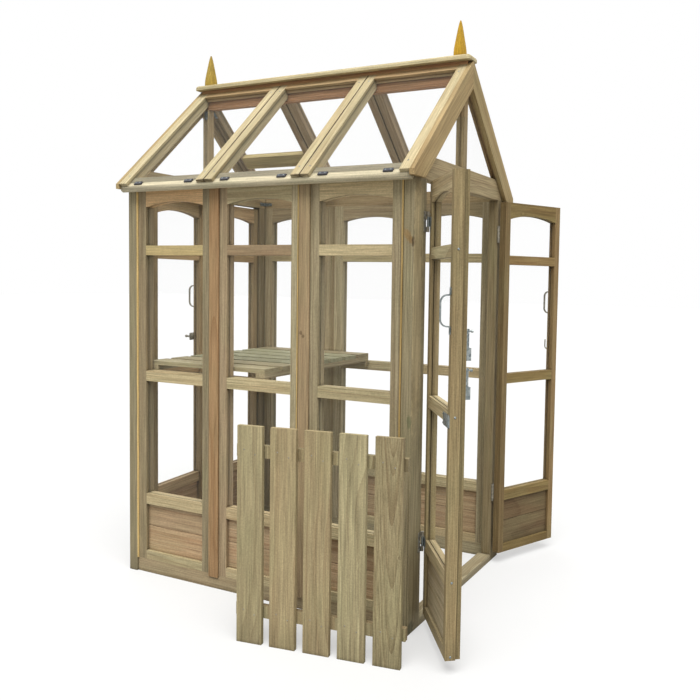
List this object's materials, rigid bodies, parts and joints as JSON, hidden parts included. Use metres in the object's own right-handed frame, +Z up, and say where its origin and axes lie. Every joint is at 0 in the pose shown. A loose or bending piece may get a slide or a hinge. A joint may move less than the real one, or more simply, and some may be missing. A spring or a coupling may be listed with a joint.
{
  "type": "small greenhouse with double doors",
  "caption": "Walk-in softwood greenhouse: arched panel walls on sills, pitched clear roof, ridge finials, hinged double doors in each gable, slatted shelves.",
  "frame": {"origin": "middle of the underside of the front door sill", "axes": "+Z up, +Y from the front doors towards the back doors, +X to the right as seen from the front"},
  "size_m": [1.5571, 1.7655, 2.3969],
  "materials": {
    "frame_softwood": "planed, pressure treated",
    "board_softwood": "planed boards",
    "finial_softwood": "planed, fresh treatment",
    "clear_sheet": "clear sheet",
    "galvanised_steel": "galvanised",
    "black_clip": "moulded"
  },
  "bodies": {
    "greenhouse": {"corner_posts": "frame_softwood", "cover_strips": "frame_softwood", "door_sills": "frame_softwood", "eaves_rails": "frame_softwood", "finials": "finial_softwood", "gable_glazing": "clear_sheet", "glazing_clips": "black_clip", "hinge_flaps": "galvanised_steel", "king_posts": "frame_softwood", "left_bargeboards": "frame_softwood", "left_rafters": "frame_softwood", "left_wall_rails": "frame_softwood", "left_wall_stiles": "frame_softwood", "loose_shelf": "frame_softwood", "lower_ties": "frame_softwood", "ridge_beam": "frame_softwood", "ridge_cap": "frame_softwood", "right_bargeboards": "frame_softwood", "right_rafters": "frame_softwood", "right_wall_rails": "frame_softwood", "right_wall_stiles": "frame_softwood", "roof_glazing": "clear_sheet", "shelf_battens": "frame_softwood", "shelf_bearers": "frame_softwood", "shelf_boards": "frame_softwood", "side_sills": "frame_softwood", "top_rails": "frame_softwood", "upper_ties": "frame_softwood", "vent_rail": "frame_softwood", "wall_boards": "board_softwood", "wall_glazing": "clear_sheet", "wall_plates": "frame_softwood", "wall_studs": "frame_softwood"},
    "front_left_door": {"front_left_boards": "board_softwood", "front_left_glazing": "clear_sheet", "front_left_ironwork": "galvanised_steel", "front_left_meeting_strip": "frame_softwood", "front_left_rails": "frame_softwood", "front_left_stiles": "frame_softwood", "tower_bolts": "galvanised_steel"},
    "front_right_door": {"front_right_boards": "board_softwood", "front_right_glazing": "clear_sheet", "front_right_ironwork": "galvanised_steel", "front_right_rails": "frame_softwood", "front_right_stiles": "frame_softwood"},
    "back_left_door": {"back_left_boards": "board_softwood", "back_left_glazing": "clear_sheet", "back_left_ironwork": "galvanised_steel", "back_left_meeting_strip": "frame_softwood", "back_left_rails": "frame_softwood", "back_left_stiles": "frame_softwood"},
    "back_right_door": {"back_right_boards": "board_softwood", "back_right_glazing": "clear_sheet", "back_right_ironwork": "galvanised_steel", "back_right_rails": "frame_softwood", "back_right_stiles": "frame_softwood"}
  },
  "joints": [
    {"name": "front_left_hinge", "type": "hinge", "parent": "greenhouse", "child": "front_left_door", "pos_m": [-0.387, -0.036, 0.86], "axis": [0, 0, -1], "range_deg": [-143.5, 16.5]},
    {"name": "front_right_hinge", "type": "hinge", "parent": "greenhouse", "child": "front_right_door", "pos_m": [0.387, -0.036, 0.86], "axis": [0, 0, 1], "range_deg": [-155.5, 4.5]},
    {"name": "back_left_hinge", "type": "hinge", "parent": "greenhouse", "child": "back_left_door", "pos_m": [-0.387, 1.376, 0.86], "axis": [0, 0, 1], "range_deg": [-5.5, 154.5]},
    {"name": "back_right_hinge", "type": "hinge", "parent": "greenhouse", "child": "back_right_door", "pos_m": [0.387, 1.376, 0.86], "axis": [0, 0, -1], "range_deg": [0, 160]}
  ]
}
